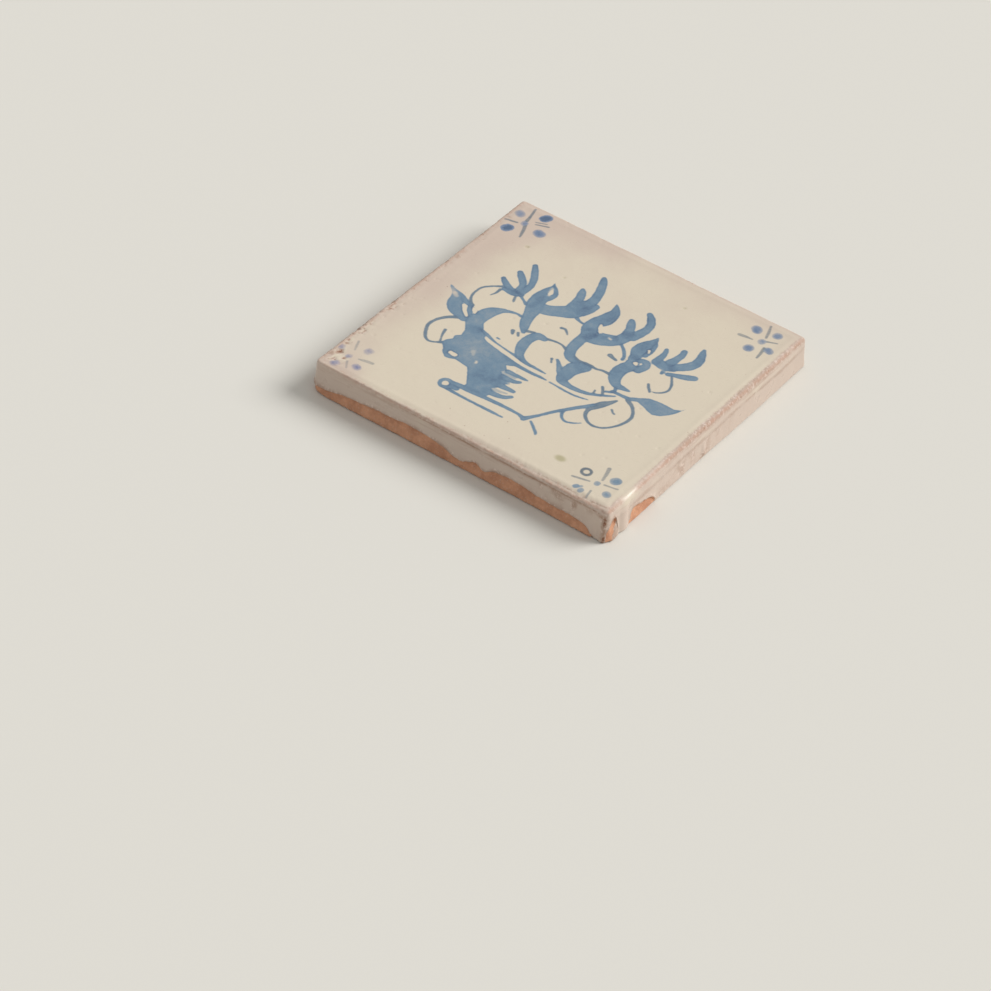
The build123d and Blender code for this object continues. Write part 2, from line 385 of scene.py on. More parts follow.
# The painting on the face. A brush stroke is a list of (x, y, half width) in mm on the face,
# and a wash is the outline of a filled patch.
painting = {
    # The strokes in the order they are laid: their name, how strong, and below 0 how inky
    "strokes": [("leaves", 0.95, 0), ("fruitShade", 0.92, 0), ("basketLines", 0.92, 0),
        ("stems", 0.92, 0), ("fruitLines", 0.84, -0.5), ("stalks", 0.82, -0.5)],
    "leaves": [
        [(-37.3, 34, 1.2), (-35.3, 31, 1.5), (-33.2, 27.5, 1.6), (-31.6, 23.5, 1.5), (-31.5, 20, 1.7),
         (-32, 17, 2)],
        [(-39.3, 27, 1.3), (-37.5, 25.2, 1.6), (-35.3, 23, 1.6), (-33.8, 20.5, 1.5), (-33, 17.5, 2)],
        [(-42, 20, 1.1), (-40.2, 18.5, 1.4), (-38, 17, 1.6), (-35.5, 15.8, 1.8), (-33, 15.5, 2)],
        [(-38, 15, 1.3), (-34, 15, 1.7), (-31, 16, 1.3)],
        [(-31, 15.5, 0.8), (-28.5, 14, 0.7), (-26.5, 12.5, 0.8)],
        [(-25.4, 30.2, 0.2), (-24.8, 27.5, 0.9), (-25.4, 23.5, 1.7), (-25.4, 19, 2.4), (-24.8, 14, 2.2)],
        [(-25.3, 29.8, 0.2), (-23, 27.2, 0.9), (-21.3, 24.6, 1.1), (-21.6, 22, 1.5), (-23.5, 18.5, 2.2)],
        [(-24.5, 20, 3.2), (-24, 16, 3.5), (-22.5, 12, 3.3), (-21.5, 8, 2.6), (-20.3, 4, 2.3),
         (-18.8, 1, 1.9), (-17.3, -1.7, 1)],
        [(-13, 45, 1.1), (-11.8, 42.5, 1.7), (-10.3, 39, 1.9), (-9, 35, 2), (-8.3, 31, 2.2),
         (-8.5, 27, 2.6)],
        [(-15.3, 34, 0.9), (-14.3, 32, 1.7), (-13.2, 29, 1.9), (-12.5, 26, 2.2), (-12, 22.5, 2.6)],
        [(-22, 14, 3.3), (-18, 15, 3.2), (-14, 17.5, 3.4), (-10.5, 20.5, 4.1), (-9.5, 25, 4.2)],
        [(-5.5, 28.5, 1.6), (-6.3, 25.5, 2.2), (-7.5, 22, 2.2)],
        [(-7, 18.2, 1), (-5, 17.3, 0.7), (-3.5, 17, 0.7)],
        [(-0.3, 34.8, 0.4), (0.8, 33, 1.2), (2, 30, 2.2), (2, 27, 3), (1.5, 24, 3.4), (0, 20.5, 3.1),
         (0.3, 16.5, 3.4), (2, 12, 2.7)],
        [(2, 14, 3.3), (1.5, 10, 2.4), (1.5, 6, 2.4), (2, 2, 2.3), (3.5, -1.5, 2.2), (6, -3.2, 1.8),
         (8.5, -3.2, 1.2)],
        [(12.5, 38, 1.3), (14.5, 36, 1.7), (16.3, 33, 1.8), (16.8, 29.5, 1.9), (16.2, 26, 2.2),
         (15, 22.5, 2.6)],
        [(9.5, 30.5, 1.2), (10.5, 28.5, 1.8), (11.8, 26, 1.9), (13, 22, 2.4)],
        [(5, 15.3, 2), (7.6, 16.1, 2), (10.5, 17.5, 1.8)],
        [(13.5, 22.5, 2.8), (12.5, 18, 2.8), (10.5, 15, 2.7), (7, 13, 3.1), (4, 12, 3)],
        [(14.5, 16.2, 0.7), (16.5, 14.5, 0.8), (18.3, 12.5, 0.8), (19.5, 10.5, 0.8), (19.8, 9, 0.8)],
        [(22.8, 28.8, 0.2), (23, 26.5, 1.1), (22.5, 23.5, 2.1), (21.8, 20.5, 2.9), (21.5, 17.5, 3),
         (22.5, 14, 2.3)],
        [(23.4, 26.3, 0.7), (24.6, 23.5, 1.1), (25.2, 20, 1.2), (24.9, 16.5, 1.2)],
        [(24.6, 12.6, 1.3), (27.3, 13.4, 1.6), (28.7, 11.2, 1.8), (27.6, 7.8, 2)],
        [(22.3, 13, 2), (24.2, 8.5, 3), (23, 5, 2.9), (22.8, 1.5, 2.9), (24, -2, 2.5), (26.5, -4.5, 1.9),
         (29.5, -4.6, 1.3), (32, -4.5, 0.6)],
        [(27, -5.5, 0.8), (28, -7.8, 0.8), (27.5, -9, 0.8), (25.5, -10.3, 0.7)],
        [(29, 24.7, 0.9), (29.8, 22.5, 1.2), (30, 19.5, 1.5), (30, 16.5, 1.8)],
        [(34.8, 28, 1.3), (35.3, 25.5, 1.5), (35, 22, 1.7), (34.5, 19, 2.2)],
        [(40, 33.5, 0.8), (40.8, 31, 1.5), (41.8, 28, 1.9), (42, 25, 2.1), (41, 22, 2.3), (39, 19.5, 2.2),
         (37, 17.5, 2)],
        [(46.3, 17.3, 1.5), (44.5, 16.3, 1.7), (42, 15, 1.5), (39.5, 14, 1.2), (37.5, 13, 1.2)],
        [(30.5, 16.5, 2.4), (34, 16, 2.5), (37, 17, 2)],
        [(35.2, 13.5, 0.9), (35.3, 11.8, 0.8)],
    ],
    "fruitLines": [
        [(-39.5, 15.5, 0.7), (-42.5, 13, 0.6), (-44.8, 10, 0.6), (-45.2, 6.5, 0.6), (-44.6, 3, 0.65),
         (-43, 0.5, 0.7), (-41, -0.9, 0.8)],
        [(-8, 0.7, 0.8), (-5, 1.5, 0.6), (-2, 1.5, 0.6), (0.5, 0.4, 0.8)],
        [(-14, 0.8, 0.7), (-16.5, -0.3, 0.9), (-17.6, -0.8, 0.8)],
        [(4.8, -1, 0.8), (8, -2, 0.8), (12, -1.5, 0.8), (15.5, -1.7, 0.7), (18, -1, 0.7), (21, -1, 0.9)],
        [(38.8, 13.4, 0.6), (40.5, 11, 0.65), (42, 8.5, 0.65), (42.8, 5.5, 0.6), (42, 3, 0.55),
         (40, 1.2, 0.5), (38.7, 0.8, 0.3)],
        [(34.5, -9, 1), (37.5, -10.8, 0.9), (40, -13.5, 0.75), (41.3, -17, 0.8), (40.8, -21, 0.7),
         (39, -25, 0.6), (36.3, -28, 0.6), (33, -29.2, 0.7), (30, -28.2, 0.75), (27.5, -25.8, 0.85),
         (26.8, -22.5, 1.1), (27.5, -20, 1.6), (29, -17, 1.7), (30.5, -14.5, 1.2), (31.8, -12, 0.6)],
        [(-41, -10.5, 1), (-44, -13, 0.9), (-46.3, -17, 0.8), (-46.7, -21, 0.8), (-45, -25, 0.8),
         (-43, -27.8, 0.75), (-40.8, -28.8, 0.6), (-38.3, -27.7, 0.6), (-36.8, -26.5, 0.9)],
    ],
    "fruitShade": [
        [(-9, 0, 1.5), (-12, -0.3, 2.2), (-13.3, -4, 2.3), (-13, -8, 2.4), (-11.5, -12, 2),
         (-9.5, -14.5, 1.6), (-6, -15.8, 1), (-3, -16, 0.7)],
        [(12.5, -3.8, 2.2), (10, -5.5, 3.5), (8.8, -9, 3.3), (9, -12.5, 2.9), (9.8, -15.3, 2.2),
         (13, -16.3, 1.5), (17, -16.3, 1.2), (21, -15.5, 1), (25, -13.5, 0.8), (28, -11.5, 0.6),
         (29.8, -10.2, 0.5)],
        [(1.7, -6.7, 0.7), (4, -9, 1.1), (6, -11.5, 1.3), (8, -13.5, 1.4), (10, -15, 1.6)],
        [(-23.4, 5.4, 0.8), (-25.5, 5.7, 0.7), (-28, 5, 0.9), (-31, 3.3, 1.6), (-33.5, 0, 2.9),
         (-34.5, -4, 3.3), (-34.8, -8, 3.6), (-32.5, -11.5, 3.5)],
        [(-54.8, 3.9, 0.2), (-53.5, 3, 0.8), (-51, 1.3, 1.3), (-48.5, -1, 2.4), (-47, -4, 3.1),
         (-45, -6.5, 3.1), (-42, -8.5, 2.3), (-39, -9.5, 2)],
        [(-52, 2.6, 0.6), (-48, 1.2, 1.1), (-45.3, -0.4, 1.4), (-42.8, -1.4, 1.1), (-40.5, -2, 0.8),
         (-37, -4, 1.2)],
        [(-41.7, -1.4, 1.2), (-40.2, -4, 1.2), (-38.2, -7, 1.2)],
    ],
    "stalks": [
        [(-32, 13.6, 0.6), (-31.2, 11.6, 0.7), (-30.7, 10.6, 0.4)],
        [(-38.9, 13.6, 0.8), (-38.9, 10.8, 0.6), (-39.9, 8.2, 0.3)],
        [(-8, 9.6, 0.8), (-6.5, 9.9, 0.7), (-5, 8.8, 0.6), (-4, 7.7, 0.4)],
        [(15, 8.2, 1.2), (16.5, 7.6, 0.9), (18.2, 7.2, 0.7)],
        [(35.2, 3.6, 0.7), (36.5, 1.8, 0.7), (38, 0.1, 0.6)],
        [(33.3, -17.3, 0.6), (34.3, -18.2, 0.6), (35.3, -18.7, 0.6)],
        [(-20.8, -3.5, 1), (-19.8, -5.2, 0.6)],
        [(-18.5, -3.3, 0.7), (-17.5, -4.8, 0.6)],
        [(-0.3, -7.5, 0.7), (0.9, -9.5, 0.5)],
        [(23.3, -8.7, 0.7), (24.5, -10.3, 0.7), (25.5, -12, 0.7), (25.8, -13.5, 0.5)],
        [(22.3, -12, 0.5), (22.8, -14, 0.6)],
        [(-40, -19.5, 0.8), (-39.5, -21.5, 0.7), (-38.5, -24, 0.5), (-37.5, -26, 0.6)],
    ],
    "basketLines": [
        [(27, -19.5, 1.2), (23.5, -24, 1), (20.7, -28, 1), (18, -32, 0.85), (15.5, -36.5, 0.8),
         (13.3, -40, 1), (11.8, -42.3, 1.3)],
        [(20.3, -29, 0.8), (20.8, -31, 0.75), (22.3, -33, 0.7), (24.5, -33.7, 0.6), (27, -32.5, 0.5),
         (29, -30.8, 0.4)],
        [(-30.5, -10.5, 0.8), (-26, -12, 0.9), (-22, -13.3, 0.6), (-17, -14.2, 0.55), (-12, -15, 0.7),
         (-6, -16, 0.9), (-2, -16, 0.8), (3, -16.2, 0.5)],
        [(-22.6, -10.8, 0.6), (-21.6, -10.9, 0.5)],
        [(-14, -17.9, 0.9), (-8, -18.9, 0.9), (-2, -19.3, 0.9), (2, -19.1, 0.8), (5.3, -19.1, 0.5)],
        [(7, -19.2, 0.5), (12, -19.5, 0.6), (17, -19.6, 0.6), (21, -19, 0.5), (23.5, -18.3, 0.3)],
        [(-23.6, -44.5, 0.9), (-23, -43, 0.9), (-21.5, -42.3, 1), (-19.6, -43, 1.2), (-19, -44.5, 1.4),
         (-19.6, -46, 1.2), (-21.5, -46.7, 0.9), (-23, -46, 0.9), (-23.6, -44.5, 0.9)],
        [(-19, -44.5, 1.6), (-16.5, -44.5, 1.2)],
        [(-20, -42.7, 1.2), (-12, -42, 1.5), (-5, -41.8, 1.1), (0, -41.5, 1), (5, -41.4, 0.9),
         (9, -41.5, 0.8), (11.8, -42.2, 1.2)],
        [(-21, -46.5, 0.9), (-15, -46.8, 0.8), (-8, -46.9, 0.7), (0, -46.8, 0.8), (5.5, -46.7, 0.5)],
        [(14.8, -41.8, 0.6), (17.5, -44, 0.7), (19.8, -46, 0.7), (20.3, -47.2, 0.3)],
        [(-8, -24.2, 1.3), (-2, -24, 0.9), (0.3, -23.9, 0.6)],
        [(-8, -28.2, 1.8), (-3, -27.5, 1.2), (-1, -26.4, 0.8)],
        [(-8, -32.5, 2), (-4, -32.5, 1.5), (0.2, -32.4, 1)],
        [(-8, -38.2, 1.8), (-5, -38.1, 1.5), (-1, -37.4, 1.2), (1.5, -35.3, 0.9)],
    ],
    "washes": [
        [(53.8, 0.5), (52.5, -1.2), (50.5, -2.3), (47, -2.2), (43.5, -2.3), (40, -3), (37.5, -4.8),
         (35, -6.5), (33, -8), (35, -9), (38, -7.6), (41, -8.5), (44, -9.8), (46, -10.3), (48.5, -9),
         (51, -6.3), (52.3, -3.8)],
        [(-31.5, -9.5), (-36.5, -12), (-34.5, -15), (-33.9, -18), (-35.5, -20), (-35, -22), (-36.5, -24),
         (-37, -26), (-35, -28), (-33, -31), (-31, -32.5), (-29, -32.3), (-27, -31.2), (-24, -31.6),
         (-21, -32), (-19.5, -34), (-17.5, -37), (-15.5, -40), (-15.5, -42.5), (-6, -42.2), (-5.5, -40),
         (-4.5, -37.8), (-7, -35.8), (-5.2, -34), (-4.5, -32), (-4, -29.6), (-7.5, -27.8), (-10, -25.6),
         (-8.5, -24), (-10.5, -21.8), (-8, -20.3), (2, -19.8), (-8, -18.6), (-14, -17.1), (-20, -15.9),
         (-24, -15), (-26, -14), (-26.4, -12.6)],
    ],
    "stems": [
        [(27.5, -8.5, 0.9), (31, -8.3, 0.9), (34.5, -8.2, 1.1)],
    ],
    "halfTones": [
        [(-9.5, -25.9, 0.9), (-6, -25.8, 0.8), (-3.5, -25.6, 0.5)],
        [(-7, -35.8, 1), (-3.5, -35.5, 0.8), (-1, -34.8, 0.6)],
        [(-7.5, -29.6, 1.2), (-4, -29.8, 0.9)],
    ],
    "leftBare": [
        [(2.3, 20.8, 0.5), (3.2, 19, 0.8), (4.5, 17, 0.7)],
        [(24.5, 19.9, 0.5), (25.1, 18.8, 0.45)],
        [(24.8, 10.5, 0.9), (25.3, 9.9, 0.5)],
        [(20.7, 10.3, 0.35), (20.9, 10.3, 0.35)],
        [(-43.8, -3, 0.55), (-41.5, -5.5, 0.7), (-39, -7.8, 0.55)],
        [(-39.6, -2.2, 0.5), (-38.6, -3, 0.9), (-37.8, -4.4, 0.4)],
        [(-30.6, -29, 0.9), (-28.6, -29.2, 1)],
        [(-21.5, -44.5, 1.1), (-21.2, -44.5, 1.1)],
    ],
    "leftPale": [  # strokes where the wash is thin, with how thin
        ([(-24.3, 27, 0.5), (-23.6, 24.8, 0.9), (-22.9, 22.6, 0.6)], 0.62),
        ([(-23.6, 25.6, 0.3), (-23.3, 24.4, 0.3)], 0.9),
        ([(-20.3, -27, 0.4), (-19.9, -27.8, 0.5)], 0.75),
        ([(8.9, 16.3, 0.5), (9.8, 16.1, 0.5)], 0.7),
        ([(-50.5, 0.6, 1), (-49, -0.4, 0.8)], 0.45),
        ([(-24.5, -23.2, 0.9), (-23.4, -24.8, 0.5)], 0.25),
        ([(4, -5.2, 0.9), (5.3, -8.3, 0.5)], 0.4),
        ([(33.3, 13.9, 0.4), (36, 13.6, 0.5)], 0.35),
    ],
    # The middle of each flower, its radius and strength; dots as (x, y, half length, half width,
    # strength); strokes
    "flowers": [
        (
            (-56, 53), 1.6, 0.95,
            [(-51.5, 61, 2.9, 2.2, 1.55), (-61, 57, 2.6, 2.3, 0.66), (-48, 51.5, 2.8, 2.5, 0.88),
             (-59.5, 46.5, 2.9, 2.3, 1.4)],
            [
                [(-58, 63.2, 0.6), (-56.8, 58, 0.7), (-56.3, 55, 0.9)],
                [(-55, 52, 0.9), (-53.6, 48.5, 0.8), (-52.5, 45, 0.6)],
                [(-52.4, 55.3, 0.5), (-47.5, 57.3, 0.5)],
                [(-53.3, 56.4, 0.4), (-49, 58.4, 0.4)],
                [(-65, 50.3, 0.5), (-61.5, 50.9, 0.6), (-58.5, 51.7, 0.6)],
            ],
        ),
        (
            (53.3, 52), 1.7, 0.85,
            [(48, 57, 2.7, 2.3, 0.88), (56, 58.7, 2.3, 2.1, 0.8), (58.3, 49, 2.4, 1.9, 0.9),
             (51.5, 45.7, 2.5, 2.2, 0.86)],
            [
                [(51, 62, 0.6), (52.3, 58.5, 0.75), (53.3, 55, 0.6)],
                [(54.8, 53.3, 0.6), (58.4, 54.9, 0.45)],
                [(44.5, 50.3, 0.9), (47, 50.7, 0.8), (49.8, 51, 0.5)],
                [(56, 49.5, 0.7), (56.7, 46, 0.75), (57, 42.8, 0.6)],
            ],
        ),
        (
            (52.5, -54.2), 1.3, 0.8,
            [(57, -49, 2.4, 2.1, 0.88), (58.5, -57, 2, 1.8, 0.74), (47.6, -60.2, 1.5, 1.2, 0.95),
             (50.1, -61, 1.5, 1.2, 0.85), (49, -59.2, 1, 0.7, 0.7)],
            [
                [(51.3, -44.8, 0.9), (52.2, -48, 0.8), (53, -51.6, 0.6)],
                [(43.3, -56.6, 0.55), (46.5, -55.8, 0.65), (49.8, -54.9, 0.5)],
                [(55, -53.2, 0.6), (60, -52.2, 0.45)],
                [(53, -58.8, 0.5), (53.6, -62.6, 0.6)],
            ],
        ),
        (
            (-57.5, -55), 1.4, 0.64,
            [(-53.5, -48.2, 2.3, 2.1, 0.46), (-51.5, -58.3, 2.2, 1.8, 0.7), (-59, -61.5, 2.2, 1.9, 0.66),
             (-63, -52.5, 2, 1.8, 0.6)],
            [
                [(-60, -45.8, 0.6), (-59, -48.5, 0.6), (-58, -50.8, 0.5)],
                [(-53.6, -54.2, 0.6), (-50.8, -53.4, 0.85), (-48.2, -52.9, 0.8)],
                [(-56.2, -57.8, 0.6), (-54, -61.2, 0.5)],
            ],
        ),
    ],
    "flowerViolet": [0.45, 0.4, 0.05, 1],
    "flowerRing": ((46, -51.5), 1.75, 0.72),  # middle, radius, half width
    "shift": (0.35, -0.45),  # of the whole painting on the face
    "deeper": [  # where the wash is stronger or, below 0, thinner: (x, y, radius, change)
        (-27, -19, 8, -0.1), (-22, -24, 6, -0.08), (-13, -33, 4.5, 0.2), (-17.5, -26.5, 3, 0.1),
        (-24, 13, 6, -0.12), (-33, -3, 5, -0.08), (-52, 2, 2.5, -0.4), (3, 26, 4.5, 0.22),
        (-8.5, 33, 3.5, 0.1), (-12.5, 43, 2.5, 0.12), (14.5, 34, 4, 0.2), (12, -5, 4, 0.14),
        (21.5, 21, 4, 0.12), (-37, 33, 2.5, 0.12), (-39, 26.5, 2.5, 0.1), (-42, 19, 2.5, 0.14),
        (-46, -7, 4, 0.1), (-16, 18, 4, -0.08), (24, 4, 4, 0.1), (41.5, 27, 3.5, 0.08),
        (47, -6, 5, -0.05), (-33, -27, 4, 0.08), (28, -17.5, 3, 0.1),
    ],
    "stains": [  # (x, y, half width, half height, strength)
        (35, -52, 2.6, 1.9, 1), (-46.3, 41.3, 1.1, 1, 0.7), (20.5, 49.5, 1, 0.8, 0.4),
        (-24.5, 35, 0.6, 0.5, 0.5),
    ],
}


def brush(line, px, py):
    # How deep each point lies inside a stroke: the half width at the nearest place of the line
    # minus the distance to it, negative outside.
    ax, ay, aw = line[:-1].T
    dx, dy, dw = (line[1:] - line[:-1]).T
    reach = np.maximum(dx * dx + dy * dy, 1e-9)
    t = np.clip(((px[:, None] - ax) * dx + (py[:, None] - ay) * dy) / reach, 0, 1)
    away = np.hypot(px[:, None] - ax - t * dx, py[:, None] - ay - t * dy)
    return (aw + t * dw - away).max(axis=1)


def fill(line, px, py):
    # How deep each point lies inside a closed outline: the distance to its nearest edge, taken
    # as positive where a ray along X crosses the outline an odd number of times.
    edge = np.column_stack([line, np.zeros(len(line))])
    away = -brush(edge, px, py)
    ax, ay = line[:-1].T
    bx, by = line[1:].T
    crosses = (ay > py[:, None]) != (by > py[:, None])
    slope = (bx - ax) / np.where(by == ay, 1e-9, by - ay)
    odd = (crosses & (px[:, None] < ax + (py[:, None] - ay) * slope)).sum(axis=1) % 2
    return np.where(odd == 1, away, -away)


notPainted = -3.0
flatX, flatY = faceX.ravel() - painting["shift"][0], faceY.ravel() - painting["shift"][1]
paint = np.full(flatX.shape, notPainted)
tone = np.zeros(flatX.shape)
violet = np.zeros(flatX.shape)


def layOn(line, strength, purple=0, filled=False, core=0):
    # Adds one stroke or wash: the paint reaches as far as the deepest stroke, and where strokes
    # overlap the tone is the strongest of them and a little more. A core is darker in the middle.
    low, high = line[:, :2].min(axis=0) - 5, line[:, :2].max(axis=0) + 5
    near = (flatX > low[0]) & (flatX < high[0]) & (flatY > low[1]) & (flatY < high[1])
    if not near.any():
        return
    depth = fill(line, flatX[near], flatY[near]) if filled else brush(line, flatX[near], flatY[near])
    cover = ramp(depth, -0.5, 0.5) * (1 + core * (ramp(depth, 0.3, 1.6) - 0.45))
    violet[near] = np.where(depth > paint[near], purple, violet[near])
    both = np.minimum(tone[near], strength * cover)
    tone[near] = np.maximum(tone[near], strength * cover) + 0.14 * both
    paint[near] = np.maximum(paint[near], depth)


def underStroke(stroke):
    # The points within 6 mm of a short stroke, and how deep each lies inside it.
    line = smoothLine(stroke)
    near = (np.abs(flatX - line[:, 0].mean()) < 6) & (np.abs(flatY - line[:, 1].mean()) < 6)
    return near, brush(line, flatX[near], flatY[near])


for wash in painting["washes"]:
    layOn(np.vstack([wash, wash[:1]]).astype(float), 0.93, filled=True)
for name, strength, purple in painting["strokes"]:
    for stroke in painting[name]:
        layOn(smoothLine(stroke), strength, purple)
for flower, violetShare in zip(painting["flowers"], painting["flowerViolet"]):
    middle, middleRadius, strength, dots, strokes = flower
    dots = [(middle[0], middle[1] + 0.01, middleRadius + 0.2, middleRadius, strength), *dots]
    for dotX, dotY, halfLength, halfWidth, dotStrength in dots:
        way = np.array([dotX - middle[0], dotY - middle[1]])
        way = way / np.hypot(*way) * (halfLength - halfWidth)
        ends = [(dotX - way[0], dotY - way[1], halfWidth), (dotX + way[0], dotY + way[1], halfWidth)]
        layOn(np.array(ends), 0.86 * dotStrength, violetShare, core=0.45)
    for stroke in strokes:
        layOn(smoothLine(stroke), 0.66 * strength, -0.8)
(ringX, ringY), ringRadius, ringWidth = painting["flowerRing"]
turn = np.linspace(0, 2 * math.pi, 25)
circle = [ringX + ringRadius * np.cos(turn), ringY + ringRadius * np.sin(turn), np.full(25, ringWidth)]
layOn(np.column_stack(circle), 0.76, -0.9)
for stroke in painting["halfTones"]:
    layOn(smoothLine(stroke), 0.48)
for stroke in painting["leftBare"]:
    near, depth = underStroke(stroke)
    paint[near] = np.minimum(paint[near], -depth)
for stroke, thinness in painting["leftPale"]:
    near, depth = underStroke(stroke)
    tone[near] *= 1 - thinness * ramp(depth, -0.35, 0.35)
for spotX, spotY, spread, change in painting["deeper"]:
    tone = tone + change * hump(np.hypot(flatX - spotX, flatY - spotY), 0, spread) * (tone > 0)
paint, tone, violet = (values.reshape(faceX.shape) for values in (paint, tone, violet))
stain = np.zeros_like(faceX)
for spotX, spotY, halfX, halfY, strength in painting["stains"]:
    spread = np.hypot((faceX - spotX) / halfX, (faceY - spotY) / halfY)
    stain = np.maximum(stain, strength * fall(spread, 0.45, 1.15))
print("painting laid on")

# Where the glaze is thin or worn: along the arris of every side, most on the left and front.
wearOf = perSide("wear") - np.where(onLeft, 0.35 * fall(placeOf, -0.6, 0.3), 0)
wearOf += np.where(onFront, 0.25 * placeOf, 0)
wearNoise = 0.5 + 0.5 * lumps(x, y, 0, 7, 15) + 0.3 * sideLumps(2, 16)
bandWidth = perSide("bandWidth") + np.where(onFront, 0.14 * ramp(placeOf, -0.6, 0.8), 0)
bandAt = perSide("bandAt") - np.where(onFront, 0.8 * ramp(placeOf, -0.8, 0.4), 0)
wear = wearOf * hump(height, bandAt, bandWidth) * np.clip(0.55 + 0.5 * wearNoise, 0, 1.3)
blotches = ramp(placeOf, 0.25, 0.85) * onFront * hump(height, 9.8, 2.6)
wear = np.maximum(wear, blotches * (0.56 + 0.9 * sideLumps(2.4, 35)))
lowPart = onRight * fall(height, seamAt - 0.7, seamAt) * fall(placeOf, 0, 0.5)
wear = np.maximum(wear, lowPart * (0.34 + 0.35 * sideLumps(3.4, 40)))
wear = np.maximum(wear, nick * atArris * perSide("nickWear"))
strongRight = np.maximum(hump(y, 30, 18), hump(y, -12, 16))
wear = wear * np.where(onRight, 0.75 + 0.45 * strongRight, 1) * (1 - 0.9 * blob)
# A brown line down the front corner; the glaze darker just above the lap, and the sides darker round the
# foot.
cornerLine = 1.7 * hump(np.hypot(x - 64.2, y + 65.7), 0, 1.25) * fall(height, 10, 12.5)
cornerLine *= np.clip(0.75 + 0.6 * sideLumps(2.2, 33), 0, 1.2)
darkerOverLap = 0.88 * fall(height - lap, 0.1, 2.3) * hasLap
darkerOverLap *= np.clip(0.75 + 0.6 * lumps(x, y, 0, 5, 31), 0, 1.2)
darkerAtFoot = 0.55 * fall(height, 0.3, 1.6) * np.clip(0.4 + lumps(x, y, 0, 4, 32), 0, 1)
wear = np.maximum(np.maximum(wear, cornerLine), np.maximum(darkerOverLap, darkerAtFoot))

# The wear comes in over the face, strongest at its rim, and in the pits.
edgeReach = perSide("edgeReach") + 0.7 * lumps(x[-1], y[-1], 0, 5, 25)
edgeWear = wearOf * (0.50 + 0.5 * wearNoise[-1]) * perSide("edgeWear")
edgeWear *= np.where(onFront, 1 + 0.55 * ramp(placeOf, -0.2, 0.7), 1)
edgeWear *= np.where(onRight, 1 + 0.5 * strongRight[-1], 1) * (1 - 0.9 * blob)
faceWear = edgeValue(edgeWear) * fall(fromRim, -0.6, edgeValue(edgeReach) - 0.9)
faceWear = np.maximum(faceWear, ramp(pitDepth, 0.06, 0.36) * 1.15)
leftBand = fall(faceX + half, 1, 5.5) * ramp(faceLumps(2.4, 17), 0.25, 0.7)
faceWear = np.maximum(faceWear, 0.8 * leftBand)

# The line along the rim of the face: how far each point lies inside it, or below 0 down the side.
farOff, farFromSeam = 8.0, 6.0
downSide = np.zeros_like(height)
downSide[-7:] = arrisRadius * (quarter - arrisTurn)[:, None]
downSide[:-7] = arrisRadius * quarter + glazeTop - height[:-7]
rimWander = roundTheTile(0.55 * lumps(arcLength, 2, 3, 8, 36))
rimWander += 0.25 * lumps(arcLength, 5, 3, 2.5, 37)
rimAt = roundTheTile(perSide("rimAt")) + rimWander
rimLine = np.maximum(-downSide - rimAt, -farOff)
faceRimLine = np.minimum(fromRim - edgeValue(rimAt), farOff)
rimStain = perSide("rimStain") * np.clip(0.85 + 0.5 * lumps(arcLength, 8, 1, 11, 38), 0, 1.1)
rimStain *= (1 - blob) * np.where(onFront, 0.78 + 0.14 * placeOf, 1)
# The line along the seam: worn glaze, and painted shade under the ridge where the upper coat ends.
seamStainAndShade = perSide("seamStainAndShade") * fall(np.abs(placeOf), 0.95, 1)
seamStainAndShade *= np.where(onRight, ramp(placeOf, -0.80, -0.70), 1)
seamStainAndShade *= np.where(onFront, 0.15 + 0.85 * ramp(placeOf, -0.6, 0.1), 1)
seamStainAndShade *= np.clip(0.75 + 0.55 * lumps(arcLength, 6, 1, 9, 24), 0, 1)

# Pink shows through the glaze near the edges, most on the left.
faceBlush = 0.85 * fall(faceX + half, 2, 26) + 0.28 * fall(faceY + half, 1, 14)
faceBlush += 0.30 * fall(half - faceY, 1, 16) + 0.25 * fall(half - faceX, 0.5, 9)
faceBlush += 0.40 * hump(np.hypot(faceX + 52, faceY - 58), 0, 30)
faceBlush += 0.30 * ramp(faceY, 5, 62) - 0.8 * pitRing
faceBlush += 0.45 * fall(faceY + half, 0.3, 4) * ramp(faceX, -40, 30)
faceBlush = np.clip(faceBlush + 0.12 * faceLumps(14, 18), 0, 1)
sideBlush = perSide("blush") + 0.3 * sideLumps(6, 19)
lowRight = fall(height, seamAt - 0.5, seamAt + 0.2) * (0.36 + 0.30 * fall(placeOf, -0.5, 0.4))
lowRight *= 1 + 0.9 * sideLumps(3.2, 39)
sideBlush += onRight * (0.15 + lowRight)
sideBlush = sideBlush - 0.30 * onFront * ramp(height, glazeTop, glazeTop + 0.5 * arrisDrop)
sideBlush += perSide("arrisBlush") * hump(height, 12.8, 1.3)
sideBlush += 0.55 * fall(height - lap, 0.2, 3.4) * hasLap
# Less pink at the top of the thick blob: its glaze is paler, and this also paints a highlight where it
# catches the light.
sideBlush = np.clip(sideBlush - 0.7 * blob * ramp(height, 9.5, 12), 0, 1.6)
allBare = 3.0
bare = np.maximum(bare, -allBare)

# The underside: a coarser grid of bare clay, a hair hollow in places. Its edge follows the foot of
# the sides a little further in.
footCells = tile["footCells"]
fu, fv, footRing, footColumn = squareGrid(footCells)
footHalf, footEdgeHalf = 63.5, 65.4
edgeX = edgeValue(x[0], footColumn) * footHalf / footEdgeHalf
edgeY = edgeValue(y[0], footColumn) * footHalf / footEdgeHalf
bend = ramp(footRing, 0.8, 1)
underX = fu * footHalf * (1 - bend) + edgeX * bend * footRing
underY = fv * footHalf * (1 - bend) + edgeY * bend * footRing
underZ = 0.22 * ramp(lumps(underX, underY, 0, 11, 20), -0.3, 0.9)
underZ = underZ + 0.05 * lumps(underX, underY, 0, 3, 21) + 0.05
underZ = np.maximum(underZ, 0) * fall(footRing, 0.9, 1)


